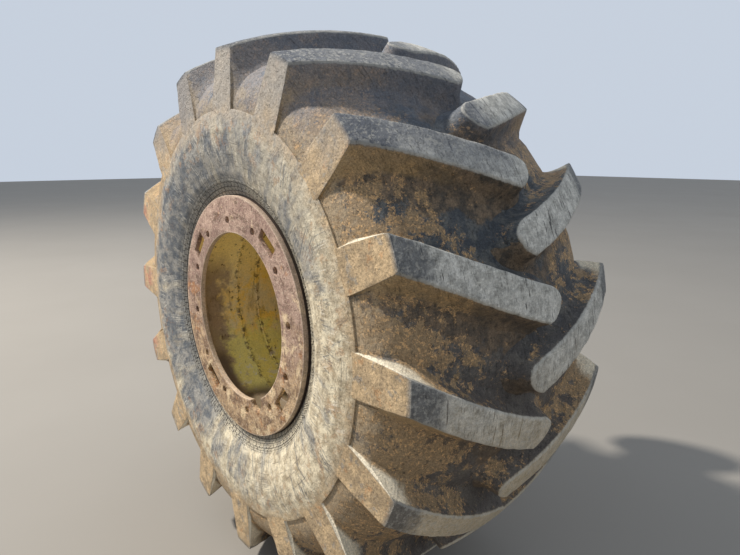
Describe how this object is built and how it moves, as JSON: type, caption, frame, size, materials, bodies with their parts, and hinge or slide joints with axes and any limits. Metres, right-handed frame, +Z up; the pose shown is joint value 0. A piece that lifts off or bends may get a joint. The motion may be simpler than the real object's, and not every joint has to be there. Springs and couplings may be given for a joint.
{
  "type": "skidder rear wheel on its axle end",
  "caption": "Lugged forestry tyre on a wide rim with an outer bolting ring, turning freely on a planetary hub at the end of a cast axle housing.",
  "frame": {"origin": "centre of the bolt circle on the outer face of the axle housing's inboard flange", "axes": "+X forward, -Y outboard along the axle to the ring plate, +Z up"},
  "size_m": [1.999, 1.533, 1.999],
  "materials": {
    "forestry_tyre": "worn rubber, scuffed grey on the lugs' tops, with dried tan mud in the grooves and dust on the sidewall",
    "rusted_ring_steel": "bare plate steel under an even film of dusty brown rust",
    "yellow_rim_paint": "worn yellow enamel, chalky, with brown rust stains and streaks",
    "hub_paint": "worn yellow enamel over cast iron, greasy dust at the bolts",
    "wheel_fasteners": "zinc-plated steel, dulled and rust-stained",
    "valve_brass": "tarnished brass",
    "valve_cap_plastic": "black moulded plastic, dusty",
    "axle_iron": "cast iron, black-brown paint mostly worn to rust and oily dust",
    "axle_fasteners": "rust-stained steel",
    "seal_rubber": "black rubber, dusty"
  },
  "bodies": {
    "axle": {"axle_housing": "axle_iron", "brake_housing": "axle_iron", "brake_bolts": "axle_fasteners", "brake_port": "axle_fasteners", "breather": "axle_fasteners", "drain_plug": "axle_fasteners", "spindle": "axle_iron", "seal_ring": "seal_rubber"},
    "wheel": {"tyre": "forestry_tyre", "rim_barrel": "yellow_rim_paint", "ring_plate": "rusted_ring_steel", "socket_bracket": "rusted_ring_steel", "wheel_disc": "yellow_rim_paint", "wheel_studs": "wheel_fasteners", "valve_stem": "valve_brass", "valve_cap": "valve_cap_plastic", "hub": "hub_paint", "hub_cover": "hub_paint", "cover_bolts": "wheel_fasteners", "cover_plug": "wheel_fasteners"}
  },
  "joints": [
    {"name": "wheel_spin", "type": "hinge", "parent": "axle", "child": "wheel", "pos_m": [0, -1.063, 0], "axis": [0, 1, 0], "continuous": true}
  ]
}
